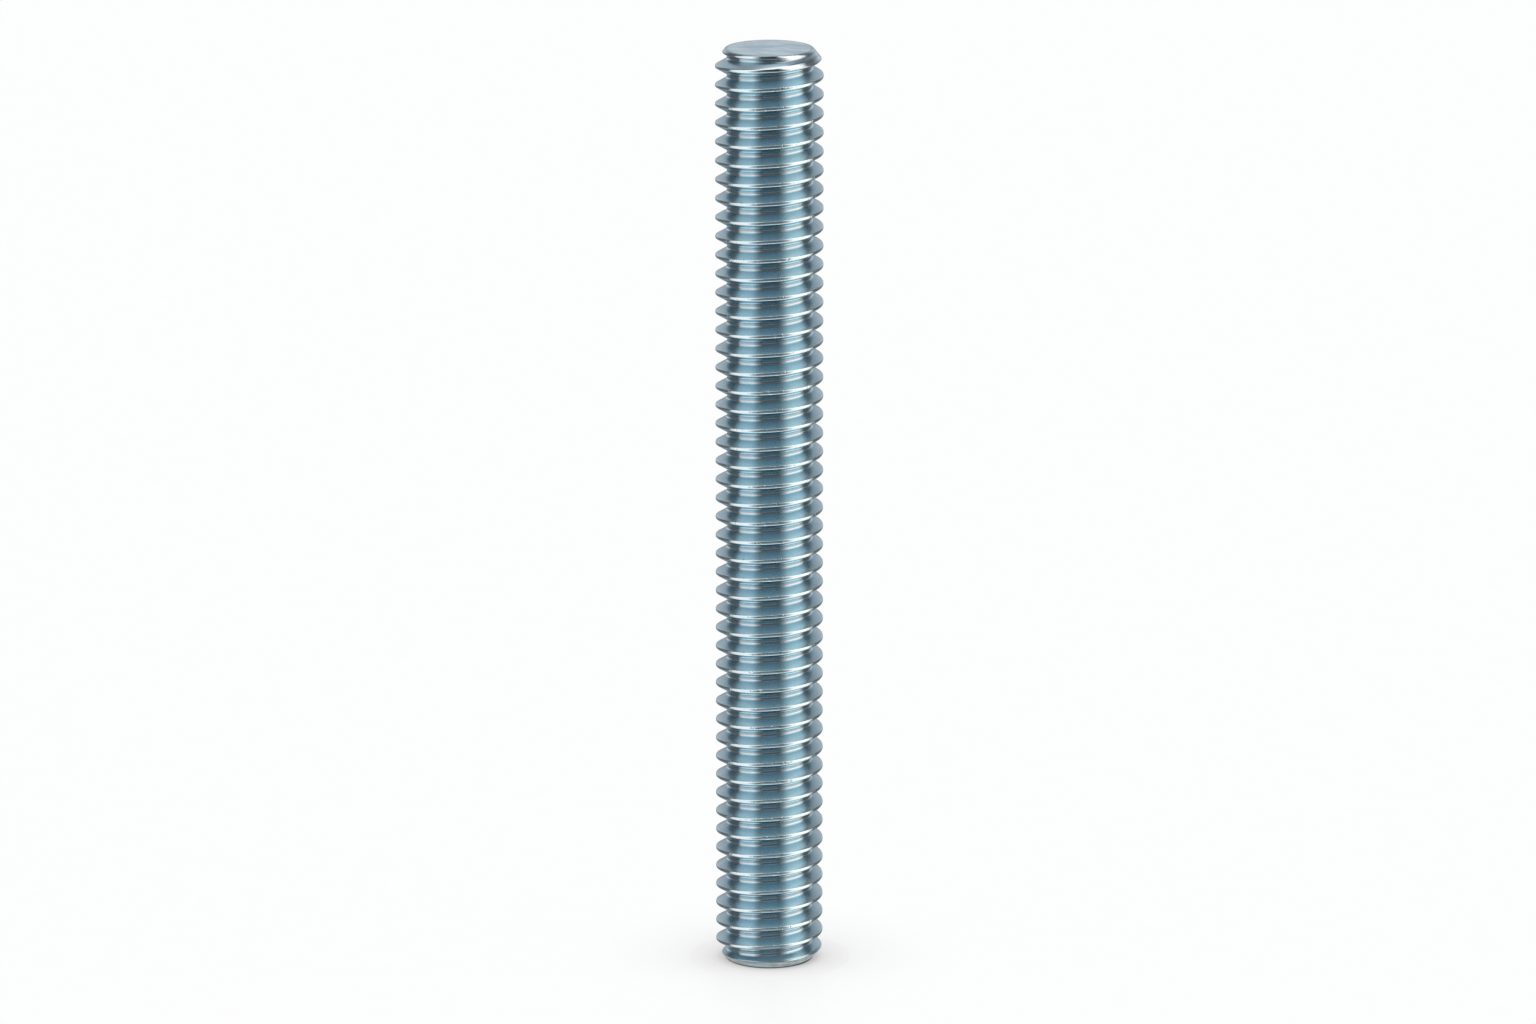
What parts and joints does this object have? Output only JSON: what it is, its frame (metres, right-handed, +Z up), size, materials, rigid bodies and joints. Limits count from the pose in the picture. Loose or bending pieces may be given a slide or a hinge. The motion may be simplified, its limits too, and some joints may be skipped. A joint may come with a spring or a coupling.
{
  "type": "threaded rod",
  "caption": "Straight steel rod with a right-hand thread along its whole length, for clamping, hanging or spacing with nuts.",
  "frame": {"origin": "centre of the lower end face, on the surface that the rod stands on", "axes": "+Z up along the rod's axis, from the lower end face to the upper one; X and Y are any two directions across it"},
  "size_m": [0.008, 0.008, 0.0691],
  "materials": {
    "zinc_plate": "bright zinc plate with a clear blue passivation, satin on the flanks and glossy on the crests"
  },
  "bodies": {
    "root": {"threaded_rod": "zinc_plate"}
  },
  "joints": []
}
